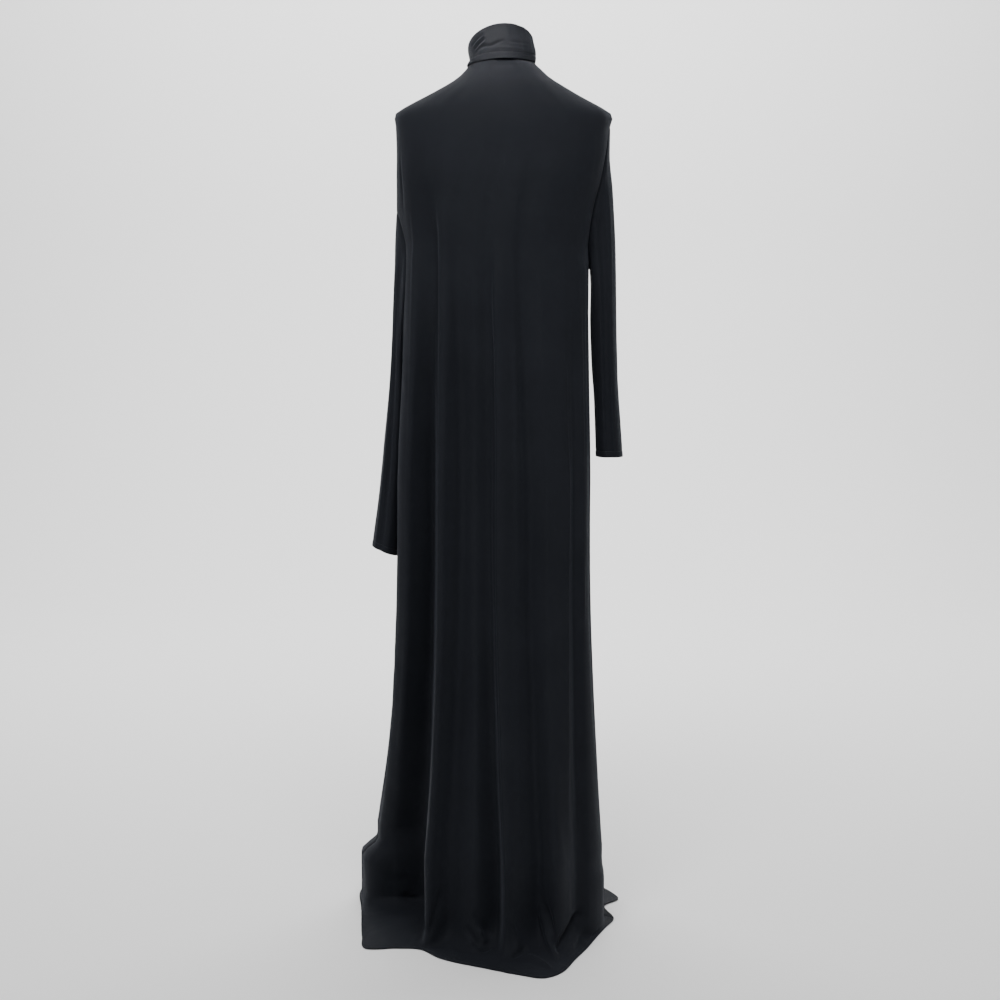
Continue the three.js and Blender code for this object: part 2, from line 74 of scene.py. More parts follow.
# Sections over the shoulders: z, left, right, back, front, squareness, front drop
SECTION_COLUMNS = ["z", "left", "right", "back", "front", "square", "drop"]
SECTIONS = [
    (15, -50, 50, -50, 50, 2.0, 45),
    (8, -56, 56, -56, 56, 2.0, 45),
    (-1, -63, 66, -62, 60, 2.0, 43),
    (-14, -76, 80, -70, 66, 2.0, 38),
    (-30, -101, 106, -80, 72, 2.05, 31),
    (-48, -135, 137, -90, 78, 2.1, 22),
    (-64, -166, 168, -98, 84, 2.2, 13),
    (-75, -184, 186, -103, 88, 2.3, 7),
    (-84, -186, 189, -106, 92, 2.35, 3),
    (-96, -184, 185, -109, 96, 2.4, 0),
    (-140, -183, 182, -114, 108, 2.45, 0),
    (-190, -184, 174, -117, 118, 2.5, 0),
    (-240, -184, 161, -117, 125, 2.5, 0),
    (-300, -181, 150, -115, 126, 2.5, 0),
]
TIP_SOFTENING = [(15, 0), (-14, 1), (-48, 5), (-75, 17), (-84, 15), (-110, 4), (-150, 0)]

# Ridges and valleys round from the right side seam over the back to the left and the front:
# name, then x and y at chest, hip and foot, the kick outwards, the height at which the cloth
# starts to bend, and the hem's x and y
LINES = [
    ("right seam", (150, 4), (147, 6), (170, 14), 4, 34, (200, -13)),
    ("right edge", (141, -52), (150, -58), (174, -64), 4, 30, (181, -62)),
    ("ridge 6", (129, -72), (138, -79), (151, -100), 0, 36, (164, -106)),
    ("valley 5", (116, -82), (121, -83), (131, -105), 0, 48, (149, -148)),
    ("ridge 5", (99, -92), (112, -96), (113, -140), 0, 66, (122, -212)),
    ("ridge 4", (60, -106), (77, -104), (88, -164), 0, 74, (97, -270)),
    ("valley 4", (26, -110), (46, -95), (62, -138), 0, 58, (67, -293)),
    ("shelf 3", (14, -114), (24, -109), (28, -170), 0, 72, (26, -279)),
    ("ridge 3", (-11, -115), (-9, -117), (6, -180), 0, 76, (-6, -263)),
    ("valley 3", (-28, -110), (-23, -91), (-9, -134), 0, 56, (-34, -248)),
    ("ridge 2", (-47, -110), (-48, -96), (-47, -153), 0, 68, (-68, -231)),
    ("valley 2", (-74, -102), (-70, -89), (-92, -126), 0, 50, (-108, -205)),
    ("ridge 1", (-100, -99), (-105, -117), (-129, -150), 0, 38, (-143, -165)),
    ("valley 1", (-118, -76), (-121, -50), (-142, 45), 0, 26, (-182, -160)),
    ("ridge 0", (-149, -67), (-162, -90), (-200, 40), 6, 26, (-236, -161)),
    ("left edge", (-165, -40), (-181, -62), (-222, 52), 26, 28, (-247, -100)),
    ("left seam", (-181, 4), (-134, 6), (-230, 80), 30, 34, (-258, 30)),
    ("front groove", (-171, 52), (-186, 78), (-231, 112), 28, 44, (-268, 140)),
    ("front ridge 0", (-155, 72), (-172, 98), (-214, 150), 8, 60, (-246, 214)),
    ("front valley 1", (-128, 89), (-132, 78), (-158, 108), 0, 52, (-194, 240)),
    ("front ridge 1", (-100, 108), (-108, 118), (-128, 168), 0, 74, (-142, 264)),
    ("front valley 2", (-72, 118), (-72, 97), (-88, 132), 0, 56, (-92, 250)),
    ("front ridge 2", (-42, 126), (-40, 129), (-48, 188), 0, 72, (-50, 274)),
    ("front valley 3", (-8, 123), (-6, 103), (-12, 146), 0, 54, (-4, 258)),
    ("front ridge 3", (26, 127), (30, 131), (36, 190), 0, 74, (40, 278)),
    ("front valley 4", (58, 119), (60, 101), (72, 142), 0, 56, (84, 250)),
    ("front ridge 4", (90, 107), (94, 116), (112, 166), 0, 68, (126, 238)),
    ("front valley 5", (118, 84), (120, 83), (136, 116), 0, 50, (176, 180)),
    ("front ridge 5", (139, 60), (141, 64), (160, 82), 0, 46, (215, 92)),
    ("right notch", (147, 34), (147, 36), (165, 48), 0, 36, (187, 52)),
]
COUNT = len(LINES)
NAMES = [line[0] for line in LINES]
CHEST_XY, HIP_XY, FOOT_XY, HEM_XY = (
    np.array([line[k] for line in LINES], float) for k in (1, 2, 3, 6)
)
KICK_BEND = np.array([line[4:6] for line in LINES], float)
LEFT_SEAM = NAMES.index("left seam")

# Armholes: seam line, top, bottom, half depth
ARMHOLES = {"right": (0, -96, -340, 47), "left": (LEFT_SEAM, -240, -500, 46)}
EASED_LINES = 3  # lines each side of an armhole whose columns are closed up

# Sleeves: the silhouettes as (z, x), half the depth as (share down the sleeve, mm), the middle's y,
# the main crease as angle, half width and depth, and the side it points to
SLEEVES = {
    "right": {
        "outer": [
            (-96, 185), (-143, 184), (-204, 190), (-306, 195),
            (-514, 200), (-619, 207), (-665, 210),
        ],
        "inner": [(-340, 146), (-352, 148), (-410, 149), (-514, 153), (-566, 157), (-665, 161)],
        "girth": [(0, 47), (0.3, 46), (0.6, 41), (1, 36)],
        "middle": 6,
        "crease": (1.45, 0.3, 5),
        "side": 1,
    },
    "left": {
        "outer": [
            (-240, -184), (-306, -187), (-410, -190), (-514, -196),
            (-619, -206), (-724, -217), (-822, -230),
        ],
        "inner": [
            (-500, -167), (-512, -170), (-600, -168), (-700, -170),
            (-780, -176), (-840, -182),
        ],
        "girth": [(0, 46), (0.2, 39), (0.6, 38), (1, 36)],
        "middle": 4,
        "crease": (1.2, 0.3, 4),
        "side": -1,
    },
}
SEAT = 0.3  # the share of a sleeve that bends from its armhole to its hanging form
MAIN_CREASE_FADE = 0.2  # the main crease grows over this share
TUCK = 3  # the sleeve's turning, tucked into the armhole
CLEAR_OF_BODY = 2.5  # the inner side's distance from the body, reached at the next share
CLEAR_BY = 0.04
SLEEVE_EASE = 60  # a sleeve's unevenness grows over this length from the armhole

# Finer creases down the sleeves: the angle at the armhole and at the cuff, the shares of the
# sleeve that it runs between, its height outwards, and its half widths towards a larger angle and
# a smaller. The angle is 0 down the outer silhouette and a quarter turn at the back.
SLEEVE_CREASES = {
    "right": [
        (1.45, 1.75, 0.02, 1.05, -4.2, 10, 7),
        (0.95, 1.35, 0.05, 1.05, 1.8, 3.5, 8),
        (2.10, 2.30, 0.30, 0.95, -1.0, 6, 6),
        (4.60, 4.30, 0.06, 0.90, -2.0, 5, 9),
        (5.30, 5.20, 0.20, 0.80, 1.2, 6, 6),
    ],
    "left": [
        (0.80, 1.30, 0.02, 1.05, -2.0, 8, 4),
        (0.40, 0.90, 0.10, 1.05, 1.2, 4, 7),
        (4.70, 4.40, 0.06, 0.90, -1.8, 6, 8),
    ],
}

# Sharper folds along the lines: the line, how far beside it at the crease's top and foot (towards
# the next line), the levels it runs between, its height outwards, and its half widths towards
# the next line and towards the last one. A level is a height that goes on counting along the
# cloth once it lies on the floor.
CREASES = [
    ("ridge 1", 6, 0, -190, -1440, 3.0, 10, 20),
    ("ridge 1", 28, 13, -180, -1330, -3.4, 12, 12),
    ("valley 2", -2, 4, -320, -1300, -1.6, 12, 12),
    ("valley 2", 14, 18, -330, -560, 1.2, 12, 3),
    ("ridge 2", 0, 0, -960, -1430, 1.6, 5, 14),
    ("ridge 3", 2, 1, -280, -1450, 3.4, 5.5, 18),
    ("ridge 3", 10, 10, -380, -1420, -2.6, 7, 5),
    ("shelf 3", 0, 0, -420, -960, 1.5, 3.0, 12),
    ("valley 4", 0, 0, -360, -1430, -1.4, 12, 9),
    ("ridge 4", 0, 4, -300, -1000, 0.9, 4, 16),
    ("ridge 5", 0, 0, -420, -1330, 1.5, 12, 3),
    ("ridge 6", 0, 0, -380, -1000, 1.8, 4, 3.5),
    ("ridge 6", -7, -7, -500, -900, 1.2, 3, 3),
    ("right edge", 4, 4, -360, -1200, -1.2, 5, 5),
    ("ridge 0", 0, 0, -180, -1240, 2.4, 5, 12),
    ("left edge", -3, -3, -118, -262, -3.6, 3.5, 4.5),
    ("front groove", 0, 0, -360, -1330, -2.0, 8, 8),
    ("front ridge 0", 0, 0, -220, -1420, 3.0, 14, 4),
    ("front valley 1", 0, 0, -260, -1380, -2.0, 8, 10),
    ("front ridge 1", 0, 0, -200, -1430, 3.4, 4, 18),
    ("front ridge 2", -3, 3, -240, -1440, 2.2, 12, 4),
    ("front valley 3", 0, 0, -330, -1400, -1.8, 10, 12),
    ("front ridge 3", 2, -2, -260, -1440, 2.8, 4, 16),
    ("front ridge 4", 0, 0, -220, -1430, 2.6, 14, 4),
    ("front valley 5", 0, 0, -280, -1330, -1.6, 8, 8),
    ("front ridge 5", 0, 0, -320, -1380, 1.6, 4, 10),
]
SLEEVE_CREASE_FADE = 0.12  # a sleeve's crease grows and dies over this share
CREASE_FADE = 110  # a crease on the body grows and dies over this length
CREASE_SWAY, SWAY_LENGTH = 1.6, 150  # it wanders sideways by this much, over this length
CREASE_VARIES, VARY_LENGTH = 0.25, 210  # its height varies by this share, over this length
VARY_SEED = 50

# Short wrinkles: the panel, the lift (down if negative), the half width, and the points that each
# runs through, as x and level
WRINKLES = [
    ("back", -4.0, 4.0, [(-22, 6), (0, 7), (22, 6)]),
    ("back", -0.9, 2.2, [(-32, -3), (0, -4), (27, -6)]),
    ("back", -0.7, 2.4, [(-38, -11), (-4, -12), (32, -14)]),
    ("back", -0.5, 2.6, [(-28, -18), (8, -19)]),
    ("back", 0.5, 3.0, [(-42, -8), (-10, -9), (20, -10)]),
    ("back", 1.2, 7, [(-60, -30), (-90, -58), (-110, -100)]),
    ("back", 1.0, 7, [(62, -30), (96, -62), (118, -104)]),
    ("back", -4.6, 4.4, [(-56, -1436), (-42, -1456), (-30, -1468), (-20, -1490)]),
    ("back", -4.4, 4.2, [(-66, -1462), (-52, -1482), (-40, -1502)]),
    ("back", -4.0, 4.0, [(-50, -1512), (-30, -1514), (-16, -1508)]),
    ("back", 5.0, 4.6, [(-41, -1462), (-37, -1481), (-29, -1500)]),
    ("back", 4.2, 4.6, [(-60, -1492), (-48, -1502), (-34, -1522)]),
    ("back", -4.0, 6, [(-106, -1400), (-120, -1458), (-134, -1490)]),
    ("back", -3.0, 5, [(-118, -1508), (-104, -1530), (-96, -1556)]),
    ("back", 2.6, 6, [(-92, -1500), (-84, -1530), (-82, -1556)]),
    ("back", -4.4, 5, [(-70, -1504), (-62, -1532), (-60, -1556)]),
    ("back", 3.6, 5, [(10, -1424), (20, -1462), (28, -1502)]),
    ("back", -5.4, 4.6, [(14, -1508), (28, -1502), (42, -1496)]),
    ("back", -3.0, 4.5, [(0, -1510), (8, -1545), (6, -1578)]),
    ("back", -6.6, 5, [(30, -1528), (50, -1572), (74, -1600)]),
    ("back", 5.0, 6, [(36, -1510), (60, -1552), (84, -1584)]),
    ("back", 6.5, 7, [(60, -1416), (74, -1465), (86, -1508), (90, -1540)]),
    ("back", -6.0, 5, [(71, -1420), (85, -1468), (94, -1504)]),
    ("back", -9.0, 6, [(90, -1510), (104, -1482), (138, -1450)]),
    ("back", 4.5, 8, [(106, -1522), (124, -1494), (152, -1468)]),
    ("back", -5.5, 5, [(-236, -1442), (-190, -1447), (-148, -1466)]),
    ("back", 4.4, 4.5, [(-240, -1456), (-190, -1460), (-148, -1478)]),
    ("back", -5.0, 5, [(-244, -1468), (-190, -1472), (-148, -1490)]),
    ("front", -0.9, 2.4, [(-34, -10), (0, -12), (34, -10)]),
    ("front", -0.7, 2.6, [(-40, -22), (0, -26), (38, -22)]),
    ("front", 1.2, 7, [(-62, -34), (-92, -62), (-112, -104)]),
    ("front", 1.1, 7, [(60, -34), (94, -64), (116, -108)]),
    ("front", -2.6, 4, [(-72, -1456), (-60, -1490), (-46, -1522)]),
    ("front", 2.4, 5, [(-60, -1450), (-47, -1492), (-38, -1532)]),
    ("front", -3.2, 5, [(58, -1436), (72, -1482), (90, -1512)]),
    ("front", 2.8, 6, [(72, -1438), (87, -1482), (106, -1522)]),
    ("front", -2.4, 4, [(-24, -1528), (0, -1560), (26, -1576)]),
    ("front", -2.0, 5, [(-166, -1440), (-176, -1492), (-192, -1532)]),
    ("front", 1.8, 6, [(140, -1446), (152, -1494)]),
]

WRINKLE_TAPER = 3.5  # the larger, the shorter a wrinkle's fading ends
WRINKLE_END = 0.05  # leaves a trace of it at the very ends

# Unevenness of hanging jersey: height, and the width and length of one bump
BODY_UNEVENNESS = [(0.35, 11, 130), (0.9, 34, 300)]
SLEEVE_UNEVENNESS = [(0.6, 16, 120), (0.3, 6, 50)]
SLEEVE_SEED = 7
UNEVEN_START, UNEVEN_GROWS = -60, 160  # the level it starts at on the body, and its growing length

# Hems: how far the stitches are from the edge, the groove under them, the fuller edge beyond, and
# the puckers beside them as height, length of one bump and seed
HEM = 10.5
GROOVE, GROOVE_WIDTH = 0.55, 1.5
FULLER, FULLER_FADE = 0.35, 3
EDGE_THINS, EDGE_LEAST = 2, 0.3  # the fuller edge thins over its last stretch
PUCKERS = [(0.22, 5.5, 31), (0.15, 2.3, 32)]
PUCKER_WIDTH = 7

# One stitch: its sizes, its rings as places along it and girths, and its sides
STITCH = {"pitch": 3.1, "length": 2.2, "radius": 0.27, "raised": 0.12}
STITCH_RINGS = [(-1, 0.25), (-0.8, 0.8), (0, 1), (0.8, 0.8), (1, 0.25)]
STITCH_SIDES = 6

# Collar: its two layers, its lean sideways, the heights of its fold and edge, and where along the
# cloth the fold starts and ends
STAND_RADIUS = 49.25
OUTER_RADIUS = 56
LEAN = -4
TOP_MIDDLE, TOP_BACK, TOP_RIGHT = 43, 26, 5
EDGE_SIDE, EDGE_DROP = 11, 45
ABOVE_SEAM = 0.6  # the inner edge's height over the neck seam
BULGE = 1.6
FOLD_START, FOLD_END = 0.42, 0.58
EDGE_SAG = 6  # how far the edge hangs lower on the left
EDGE_FLARE, FLARE_START = 5.5, 0.7  # and stands further out there, from this share of the fall
BACK_GAP, BACK_GAP_START = 3.0, 0.55  # the same at the middle of the back
BACK_GAP_WIDTH = 0.34
TURN_DOWN = 0.1  # wrinkles grow over this share of the cloth, round the fold's end
COLLAR_SIDE_FADE = 12  # and over this distance from the sides to the back or the front
COLLAR_UNEVENNESS, COLLAR_BUMPS, COLLAR_BUMP_HEIGHT = 0.5, 9, 16
COLLAR_SEED = 12

# The collar's wrinkles as seen from the back or the front: lift, half width, and points as x and z
COLLAR_WRINKLES = {
    "back": [
        (-2.4, 2.4, [(-50, 26), (-42, 35), (-29, 46)]),
        (-2.8, 2.6, [(-48, 20), (-41, 29), (-31, 32), (-20, 32), (-4, 39), (6, 42)]),
        (-1.9, 2.4, [(-54, 34), (-46, 43), (-30, 54)]),
        (1.8, 2.2, [(-51, 30), (-44, 39), (-30, 50)]),
        (1.7, 2.2, [(-48, 23), (-40, 33), (-27, 41)]),
        (-1.7, 2.4, [(6, 39), (26, 38), (47, 38)]),
        (-0.6, 1.8, [(6, 31), (28, 31), (46, 32)]),
        (-0.5, 1.8, [(8, 25), (40, 26)]),
        (1.2, 3.0, [(-30, 25), (-4, 29), (28, 27), (48, 24)]),
        (-0.7, 4.0, [(10, 52), (28, 49), (40, 44)]),
    ],
    "front": [
        (-1.4, 2.4, [(-50, -4), (-36, 8), (-16, 14)]),
        (-1.3, 2.4, [(-46, -18), (-28, -4), (-6, 0)]),
        (-1.0, 2.4, [(4, 6), (26, 4), (48, 8)]),
        (1.1, 3.0, [(-40, 2), (-14, 7), (20, 9)]),
        (-0.9, 2.6, [(8, -12), (30, -10), (50, -2)]),
    ],
}

# Mesh density
COLUMNS_PER_LINE = 14
HANG_STEP = 8.6
STEP_ROWS = 10
PUDDLE_ROWS = 32
HEM_ROWS = 8  # closer rows over the last stretch of cloth, past the next share
HEM_SHARE = 0.88
SLEEVE_COLUMNS = 96
SLEEVE_ROWS = 100
ROW_CROWDING = 1.1  # above 1, a sleeve's rows are closer at its armhole
CUFF_SHARE, CUFF_ROWS = 0.965, 14
COLLAR_COLUMNS = 200
STAND_ROWS, FOLD_ROWS = 12, 14
LEAF_ROWS = 52
EDGE_STEPS = 240  # places tried over the eased lines, to find an armhole's edge
FOOT_STEP = 0.3  # lines each way, to find the direction along the foot


def mix(a, b, t):
    return a + (b - a) * t


def smooth(t):
    """An eased step from 0 to 1."""
    t = np.clip(t, 0, 1)
    return t * t * (3 - 2 * t)


def bell(away, width):
    return np.exp(-((away / width) ** 2))


def signed_power(value, power):
    return np.sign(value) * np.abs(value) ** power


def through(pairs, at):
    """A smooth curve through (place, value) pairs, with no overshoot."""
    places, values = np.array(sorted(pairs), float).T
    at = np.clip(np.asarray(at, float), places[0], places[-1])
    slope = np.diff(values) / np.diff(places)
    before, after = slope[:-1], slope[1:]
    total = np.where(before * after > 0, before + after, 1)
    inner = np.where(before * after > 0, 2 * before * after / total, 0)
    tangent = np.concatenate(([slope[0]], inner, [slope[-1]]))
    i = np.clip(np.searchsorted(places, at, side="left") - 1, 0, len(slope) - 1)
    width = places[i + 1] - places[i]
    t = (at - places[i]) / width
    return (
        values[i] * (2 * t**3 - 3 * t**2 + 1)
        + tangent[i] * width * (t**3 - 2 * t**2 + t)
        + values[i + 1] * (3 * t**2 - 2 * t**3)
        + tangent[i + 1] * width * (t**3 - t**2)
    )


SECTION_PAIRS = {
    name: [(row[0], row[k]) for row in SECTIONS] for k, name in enumerate(SECTION_COLUMNS) if k
}


def section(column, z):
    return float(through(SECTION_PAIRS[column], z))


def shoulder_points(turn, z):
    """Points on the smooth section over the shoulders."""
    power = 2 / section("square", z)
    left, right = section("left", z), section("right", z)
    half = (right - left) / 2 - through(TIP_SOFTENING, z) * np.sin(turn) ** 2
    depth = np.where(np.sin(turn) >= 0, -section("back", z), section("front", z))
    x = (left + right) / 2 + half * signed_power(np.cos(turn), power)
    return np.stack([x, -depth * signed_power(np.sin(turn), power)], axis=-1)


def chest_turns():
    half = section("square", CHEST) / 2
    left, right = section("left", CHEST), section("right", CHEST)
    across = (CHEST_XY[:, 0] - (left + right) / 2) / ((right - left) / 2)
    y = CHEST_XY[:, 1]
    outwards = np.where(y < 0, y / section("back", CHEST), -y / section("front", CHEST))
    return np.arctan2(signed_power(outwards, half), signed_power(across, half))


TURNS = chest_turns()


def line_places(z):
    """Where the fold lines are at a height, down to where the puddle begins."""
    if z >= CHEST:
        grown = smooth((FOLDS_FADE_IN - z) / (FOLDS_FADE_IN - CHEST))
        return shoulder_points(TURNS, z) + grown * (CHEST_XY - shoulder_points(TURNS, CHEST))
    if z >= HIP:
        return mix(CHEST_XY, HIP_XY, (CHEST - z) / (CHEST - HIP))
    return mix(HIP_XY, FOOT_XY, ((HIP - z) / (HIP - FOOT)) ** 2)


def on_ring(points, u):
    """A closed centripetal Catmull-Rom curve through points, where u counts points."""
    u = np.mod(u, COUNT)
    i = np.floor(u).astype(int)
    t = (u - i)[:, None]
    p0, p1, p2, p3 = (points[(i + k) % COUNT] for k in (-1, 0, 1, 2))
    pairs = ((p0, p1), (p1, p2), (p2, p3))
    spans = [np.sqrt(np.linalg.norm(b - a, axis=1))[:, None] for a, b in pairs]
    least = 1e-4
    middle = np.maximum(spans[1], least)
    first = np.where(spans[0] < least, middle, spans[0])
    last = np.where(spans[2] < least, middle, spans[2])
    start = ((p1 - p0) / first - (p2 - p0) / (first + middle) + (p2 - p1) / middle) * middle
    end = ((p2 - p1) / middle - (p3 - p1) / (middle + last) + (p3 - p2) / last) * middle
    return (
        p1
        + start * t
        + (-3 * p1 + 3 * p2 - 2 * start - end) * t**2
        + (2 * p1 - 2 * p2 + start + end) * t**3
    )


def ring_at(z, u):
    return on_ring(line_places(z), u)


def foot_at(u, share):
    """The skirt's foot, stepped outwards by the kick."""
    places = line_places(FOOT)
    ahead = on_ring(places, u + FOOT_STEP) - on_ring(places, u - FOOT_STEP)
    ahead /= np.linalg.norm(ahead, axis=1)[:, None]
    kick = on_ring(KICK_BEND, u)[:, 0] * share
    outwards = np.stack([-ahead[:, 1], ahead[:, 0]], axis=1)
    return on_ring(places, u) + outwards * kick[:, None]


def bend_tops(u):
    return FLOOR + on_ring(KICK_BEND, u)[:, 1]


def with_height(xy, z):
    return np.column_stack([xy, np.broadcast_to(z, len(xy))])


def hanging_row(u, z):
    """Body points at one height above the foot."""
    xy = ring_at(z, u)
    forward = np.clip(xy[:, 1] / section("front", z), 0, 1)
    drop = section("drop", z) if z > CHEST else 0
    return with_height(xy, z - drop * forward**2)


def stepping_row(u, share):
    """Body points between the foot and the bends, where the kick grows."""
    z = mix(FOOT, bend_tops(u), share)
    return with_height(foot_at(u, smooth((KICK_START - z) / (KICK_START - KICK_END))), z)


def puddle_row(u, down):
    """Body points in the puddle, by the share of cloth below the bend's top."""
    start, hem, top = foot_at(u, 1), on_ring(HEM_XY, u), bend_tops(u)
    laid = FLOOR + SOLID_WALL
    landing = mix(start, hem, LANDING)
    if down >= LANDING_ROW:
        return with_height(mix(landing, hem, (down - LANDING_ROW) / (1 - LANDING_ROW)), laid)
    t = down / LANDING_ROW
    return (
        with_height(start, top) * (1 - t) ** 2
        + with_height(start, laid) * (2 * t * (1 - t))
        + with_height(landing, laid) * t**2
    )


def armhole_edges(side, facing, z):
    """How many lines from its seam the armhole's edge lies, at one height."""
    seam, top, bottom, depth = ARMHOLES[side]
    if not bottom < z < top:
        return 0.0
    offset = (z - (top + bottom) / 2) / ((top - bottom) / 2)
    reach = depth * math.sqrt(1 - offset**2)
    steps = np.linspace(0, EASED_LINES, EDGE_STEPS)
    seam_y = ring_at(z, np.array([float(seam)]))[0, 1]
    away = np.abs(ring_at(z, seam + facing * steps)[:, 1] - seam_y)
    return float(np.interp(reach, away, steps))


def eased(u, z):
    """Columns beside an armhole, closed up to make room for it."""
    u = u.copy()
    for side, (seam, top, bottom, _) in ARMHOLES.items():
        if not bottom < z < top:
            continue
        for lap in (seam, seam + COUNT):
            for facing in (-1, 1):
                away = (u - lap) * facing
                near = (away > 0) & (away <= EASED_LINES)
                if near.any():
                    edge = armhole_edges(side, facing, z)
                    u[near] = lap + facing * mix(edge, EASED_LINES, away[near] / EASED_LINES)
    return u


def hang_heights():
    """Rows down the body: the armholes' ends and the sections' sharp places each get a row."""
    fixed = [NECK_SEAM, -75, -84, -96, -240, -340, -500, FOOT]
    rows = []
    for high, low in zip(fixed, fixed[1:]):
        count = max(1, round((high - low) / HANG_STEP))
        rows += [mix(high, low, k / count) for k in range(count)]
    return rows + [FOOT]


def puddle_shares():
    """Rows down the puddle, closer together at the hem."""
    upper = np.linspace(0, HEM_SHARE, PUDDLE_ROWS + 1)[1:]
    return [*upper, *np.linspace(HEM_SHARE, 1, HEM_ROWS + 1)[1:]]


def body_grid(first, last):
    """A panel's points between two seam lines, with the u and the level of each."""
    inset = 1e-6  # keeps each edge column on its own side of the seam
    columns = np.linspace(first + inset, last - inset, (last - first) * COLUMNS_PER_LINE + 1)
    rows, us, levels = [], [], []
    for z in hang_heights():
        u = eased(columns, z)
        rows.append(hanging_row(u, z))
        us.append(u)
        levels.append(np.full(len(u), z))
    for k in range(1, STEP_ROWS + 1):
        rows.append(stepping_row(columns, k / STEP_ROWS))
        us.append(columns)
        levels.append(rows[-1][:, 2])
    for share in puddle_shares():
        rows.append(puddle_row(columns, share))
        us.append(columns)
        levels.append(levels[-1] - np.linalg.norm(rows[-1] - rows[-2], axis=1))
    return np.array(rows), np.array(us), np.array(levels)


def grid_normals(grid, wrapped=False):
    """Unit normals of a grid, whose columns close into a ring if it is wrapped."""
    if wrapped:
        across = np.roll(grid, -1, axis=1) - np.roll(grid, 1, axis=1)
    else:
        across = np.gradient(grid, axis=1)
    down = np.gradient(grid, axis=0)
    normal = np.cross(across, down)
    return normal / np.maximum(np.linalg.norm(normal, axis=2), 1e-9)[..., None]


def lengths(grid, axis):
    """The length run along an axis of a grid, up to each of its points."""
    steps = np.linalg.norm(np.diff(grid, axis=axis), axis=2)
    total = np.cumsum(steps, axis=axis)
    pad = [(0, 0), (0, 0)]
    pad[axis] = (1, 0)
    return np.pad(total, pad)


def noise(x, y, seed):
    """Smooth seeded value noise between -1 and 1, one unit per bump."""
    def corner(i, j):
        h = np.sin(i * 127.1 + j * 311.7 + seed * 74.7) * 43758.5453
        return (h - np.floor(h)) * 2 - 1
    i, j = np.floor(x), np.floor(y)
    s, t = smooth(x - i), smooth(y - j)
    top = mix(corner(i, j), corner(i + 1, j), s)
    bottom = mix(corner(i, j + 1), corner(i + 1, j + 1), s)
    return mix(top, bottom, t)


def link(name, data):
    obj = bpy.data.objects.new(name, data)
    bpy.context.scene.collection.objects.link(obj)
    return obj


def make_mesh(name, points, faces, uv, thickness):
    """A mesh from points and uv in millimetres, given a thickness inwards unless that is 0."""
    mesh = bpy.data.meshes.new(name)
    mesh.from_pydata((np.asarray(points) * MM).tolist(), [], faces)
    layer = mesh.uv_layers.new(name="cloth")
    loops = np.empty(len(mesh.loops), dtype=np.int32)
    mesh.loops.foreach_get("vertex_index", loops)
    layer.data.foreach_set("uv", (uv[loops] * MM).astype(np.float32).ravel())
    mesh.shade_smooth()
    obj = link(name, mesh)
    if thickness:
        shell = obj.modifiers.new("cloth", "SOLIDIFY")
        shell.thickness = thickness * MM
        shell.offset = -1
        shell.use_even_offset = False
        shell.use_quality_normals = True
    return obj


def sheet_mesh(name, grid, wrapped=False, flip=False):
    """A cloth mesh over a grid, with uv in its lengths across and down."""
    rows, columns = grid.shape[:2]
    spans = columns if wrapped else columns - 1
    faces = []
    for r in range(rows - 1):
        for c in range(spans):
            n = (c + 1) % columns
            face = (r * columns + c, r * columns + n, (r + 1) * columns + n, (r + 1) * columns + c)
            faces.append(face[::-1] if flip else face)
    across = lengths(grid, 1)
    middle = np.broadcast_to(across[rows // 2], across.shape)
    uv = np.stack([middle, -lengths(grid, 0)], axis=-1).reshape(-1, 2)
    return make_mesh(name, grid.reshape(-1, 3), faces, uv, CLOTH)


def seam_dip(distance):
    return -SEAM_DIP * bell(distance, SEAM_WIDTH)


def crease_lift(us, levels, across):
    """How far the creases lift each point of a panel outwards."""
    lift = np.zeros_like(levels)
    for k, (name, beside_top, beside_foot, top, foot, height, ahead, behind) in enumerate(CREASES):
        line = NAMES.index(name)
        if not us[0, 0] < line < us[0, -1]:
            continue
        at = np.array([np.interp(line, u, row) for u, row in zip(us, across)])[:, None]
        down = np.clip((top - levels) / (top - foot), 0, 1)
        sway = CREASE_SWAY * noise(levels / SWAY_LENGTH, 0.5 * levels / SWAY_LENGTH, k)
        away = across - at - mix(beside_top, beside_foot, down) - sway
        grown = smooth((top - levels) / CREASE_FADE) * smooth((levels - foot) / CREASE_FADE)
        uneven = 1 + CREASE_VARIES * noise(levels / VARY_LENGTH, 0 * levels, k + VARY_SEED)
        lift += height * grown * uneven * bell(away, np.where(away > 0, ahead, behind))
    return lift


def wrinkle_lift(places, points, width):
    """A soft ridge of height 1 along a line through points, dying away at both its ends."""
    points = np.array(points, float)
    steps = np.diff(points, axis=0)
    run = np.concatenate(([0], np.cumsum(np.linalg.norm(steps, axis=1))))
    nearest = np.full(places.shape[:-1], np.inf)
    along = np.zeros_like(nearest)
    for start, step, passed, length in zip(points, steps, run, np.diff(run)):
        t = np.clip((places - start) @ step / length**2, 0, 1)
        away = np.linalg.norm(places - start - t[..., None] * step, axis=-1)
        closer = away < nearest
        nearest = np.where(closer, away, nearest)
        along = np.where(closer, passed + t * length, along)
    from_end = np.minimum(along, run[-1] - along) / run[-1]
    return bell(nearest, width) * smooth(WRINKLE_TAPER * from_end + WRINKLE_END)


def hem_lift(to_edge, along):
    """A hem turned in and stitched: a groove at the stitches, small puckers, and a fuller edge."""
    pucker = sum(height * noise(along / size, 0 * along, seed) for height, size, seed in PUCKERS)
    fuller = FULLER * smooth((HEM - to_edge) / FULLER_FADE) * smooth(to_edge / EDGE_THINS + EDGE_LEAST)
    groove = GROOVE * bell(to_edge - HEM, GROOVE_WIDTH)
    return fuller - groove + pucker * bell(to_edge - HEM, PUCKER_WIDTH)


